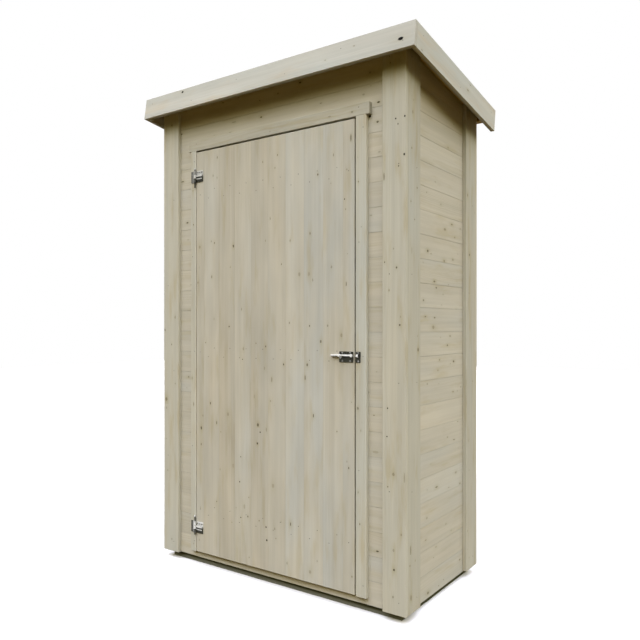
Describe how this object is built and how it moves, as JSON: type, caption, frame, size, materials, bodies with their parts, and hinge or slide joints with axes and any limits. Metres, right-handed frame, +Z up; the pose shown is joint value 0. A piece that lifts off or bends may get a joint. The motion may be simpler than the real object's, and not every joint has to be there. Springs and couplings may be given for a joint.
{
  "type": "wooden tool shed",
  "caption": "Narrow single-door garden tool shed of untreated tongue-and-groove boards with a roof sloping to the back, on dark timber bearers.",
  "frame": {"origin": "on the ground, at the middle of the four walls, on the bottom face of the middle bearer", "axes": "+Z up; -Y is the front with the door; +X is to the right of someone facing the door"},
  "size_m": [1.362, 0.7552, 2.0707],
  "materials": {
    "bearer_wood": "pressure-treated, dark green brown, rough sawn",
    "floor_wood": "planed, untreated",
    "wall_wood": "planed spruce, untreated, matt",
    "frame_wood": "sawn spruce, untreated",
    "trim_wood": "planed spruce, untreated, matt",
    "door_wood": "planed spruce, untreated, matt",
    "hinge_steel": "bright galvanised",
    "bolt_steel": "bright galvanised",
    "roof_wood": "planed spruce, untreated",
    "roof_felt": "mineral bitumen felt",
    "fascia_wood": "planed spruce, untreated, matt"
  },
  "bodies": {
    "shed": {"front_bearer": "bearer_wood", "rear_bearer": "bearer_wood", "cross_bearers": "bearer_wood", "floor_boards": "floor_wood", "front_wall_sill": "wall_wood", "front_wall_left": "wall_wood", "front_wall_right": "wall_wood", "front_wall_head": "wall_wood", "left_wall": "wall_wood", "right_wall": "wall_wood", "rear_wall": "wall_wood", "front_posts": "frame_wood", "rear_posts": "frame_wood", "door_posts": "frame_wood", "head_rail": "frame_wood", "cross_rails": "frame_wood", "side_rails": "frame_wood", "front_left_trim": "trim_wood", "front_right_trim": "trim_wood", "left_front_trim": "trim_wood", "left_rear_trim": "trim_wood", "right_front_trim": "trim_wood", "right_rear_trim": "trim_wood", "rear_left_trim": "trim_wood", "rear_right_trim": "trim_wood", "left_casing": "trim_wood", "right_casing": "trim_wood", "header_board": "trim_wood", "top_hinge_frame_leaf": "hinge_steel", "bottom_hinge_frame_leaf": "hinge_steel", "bolt_keeper": "bolt_steel", "roof_boards": "roof_wood", "roof_felt": "roof_felt", "front_fascia": "fascia_wood", "left_fascia": "fascia_wood", "right_fascia": "fascia_wood"},
    "door": {"door_boards": "door_wood", "door_ledges": "frame_wood", "door_braces": "frame_wood", "top_hinge_door_leaf": "hinge_steel", "bottom_hinge_door_leaf": "hinge_steel", "bolt_plate": "bolt_steel"},
    "bolt": {"bolt_bar": "bolt_steel"}
  },
  "joints": [
    {"name": "door_hinge", "type": "hinge", "parent": "shed", "child": "door", "pos_m": [-0.412, -0.3255, 0.92975], "axis": [0, 0, -1], "range_deg": [0, 170]},
    {"name": "bolt_slide", "type": "slide", "parent": "door", "child": "bolt", "axis": [1, 0, 0], "range_m": [0, 0.028]}
  ]
}
